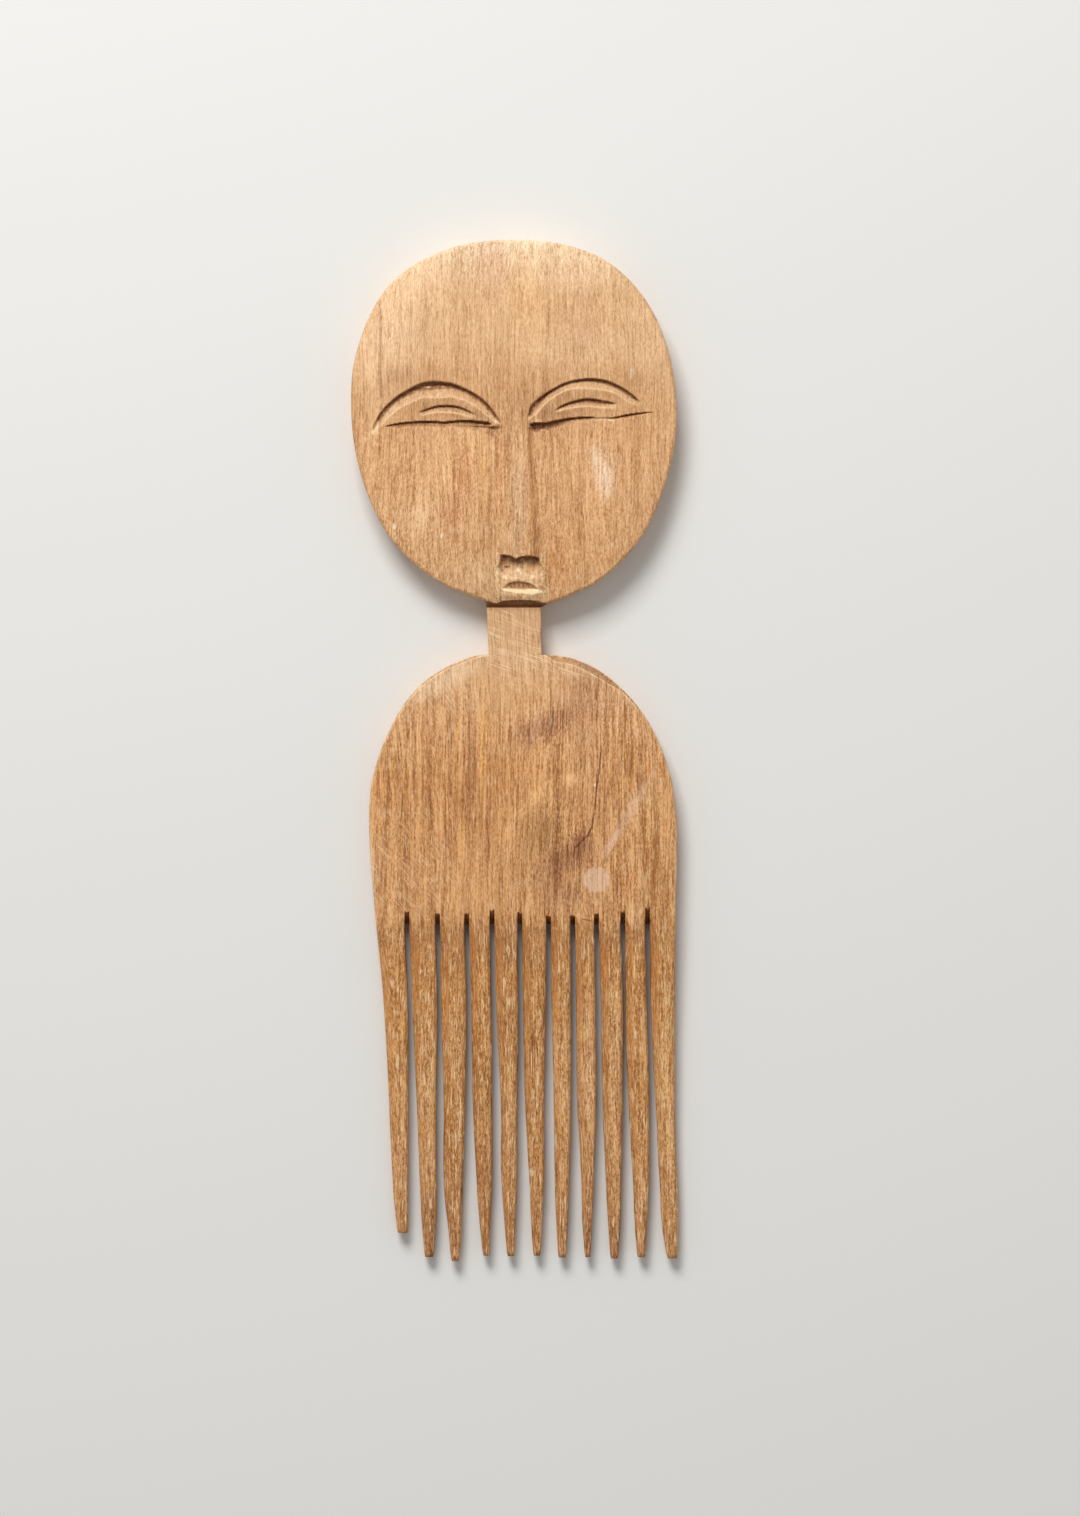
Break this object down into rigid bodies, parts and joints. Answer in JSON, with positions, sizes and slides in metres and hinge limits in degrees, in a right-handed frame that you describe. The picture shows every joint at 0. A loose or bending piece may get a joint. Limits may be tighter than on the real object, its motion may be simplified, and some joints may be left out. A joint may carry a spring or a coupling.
{
  "type": "afro pick",
  "caption": "Hand-carved wooden afro pick with a round carved face for a head, a short neck, an arched shoulder plate to hold and a row of long tapered teeth.",
  "frame": {"origin": "on the flat back, under the middle of the pick's length, on the neck's centre line", "axes": "+Z out of the carved face, +Y from the teeth to the crown of the head, +X to the right as the face is looked at"},
  "size_m": [0.0803, 0.25, 0.012],
  "materials": {
    "face_wood": "bare, sanded smooth, pale tan with fine straight grain",
    "plate_wood": "bare, hand-rubbed, golden tan with ribbon figure",
    "tooth_wood": "bare, knife-whittled, darker tan with strong grain"
  },
  "bodies": {
    "root": {"head": "face_wood", "neck": "plate_wood", "shoulder_plate": "plate_wood", "tooth_01": "tooth_wood", "tooth_02": "tooth_wood", "tooth_03": "tooth_wood", "tooth_04": "tooth_wood", "tooth_05": "tooth_wood", "tooth_06": "tooth_wood", "tooth_07": "tooth_wood", "tooth_08": "tooth_wood", "tooth_09": "tooth_wood", "tooth_10": "tooth_wood", "tooth_11": "tooth_wood"}
  },
  "joints": []
}
